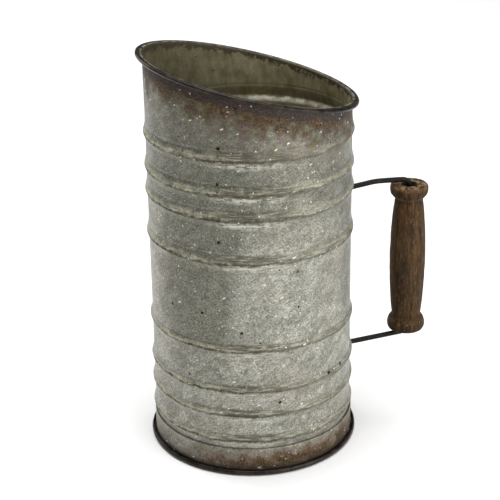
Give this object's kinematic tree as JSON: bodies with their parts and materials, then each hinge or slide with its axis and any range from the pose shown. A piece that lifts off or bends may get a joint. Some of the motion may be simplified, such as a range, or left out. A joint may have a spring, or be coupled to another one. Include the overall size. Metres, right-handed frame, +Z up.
{
  "type": "flour sifter",
  "caption": "Ribbed sheet-steel scoop sifter with a slanted rolled mouth, a wire-cloth sieve in its foot and a bent wire handle with a spinning wooden grip.",
  "frame": {"origin": "on the body's axis, in the plane that the foot ring rests on", "axes": "+Z up along the body's axis; +X from the body towards the handle and the mouth's low side; the long lip is on -X"},
  "size_m": [0.187, 0.1352, 0.2591],
  "materials": {
    "galvanised_sheet": "weathered galvanised sheet, dull grey with faint spangle and rust near both rims",
    "plain_steel_wire": "dull steel wire",
    "wire_cloth": "tinned woven wire cloth",
    "dark_wire": "dark oxidised wire with brown rust",
    "weathered_wood": "dry, worn dark brown turned wood"
  },
  "bodies": {
    "sifter": {"body_shell": "galvanised_sheet", "foot_band": "galvanised_sheet", "sieve_seat": "galvanised_sheet", "sieve_hoop": "galvanised_sheet", "sieve_stay_lower": "galvanised_sheet", "sieve_stay_upper": "galvanised_sheet", "backing_plate_upper": "galvanised_sheet", "backing_plate_lower": "galvanised_sheet", "rivet_upper_left": "galvanised_sheet", "rivet_upper_right": "galvanised_sheet", "rivet_lower_left": "galvanised_sheet", "rivet_lower_right": "galvanised_sheet", "mouth_rim_wire": "plain_steel_wire", "foot_rim_wire": "plain_steel_wire", "sieve_spring_ring": "plain_steel_wire", "sieve_screen": "wire_cloth", "handle_wire": "dark_wire"},
    "grip": {"grip": "weathered_wood"}
  },
  "joints": [
    {"name": "grip_spin", "type": "hinge", "parent": "sifter", "child": "grip", "pos_m": [0.107, 0, 0.10635], "axis": [0, 0, 1], "continuous": true}
  ]
}
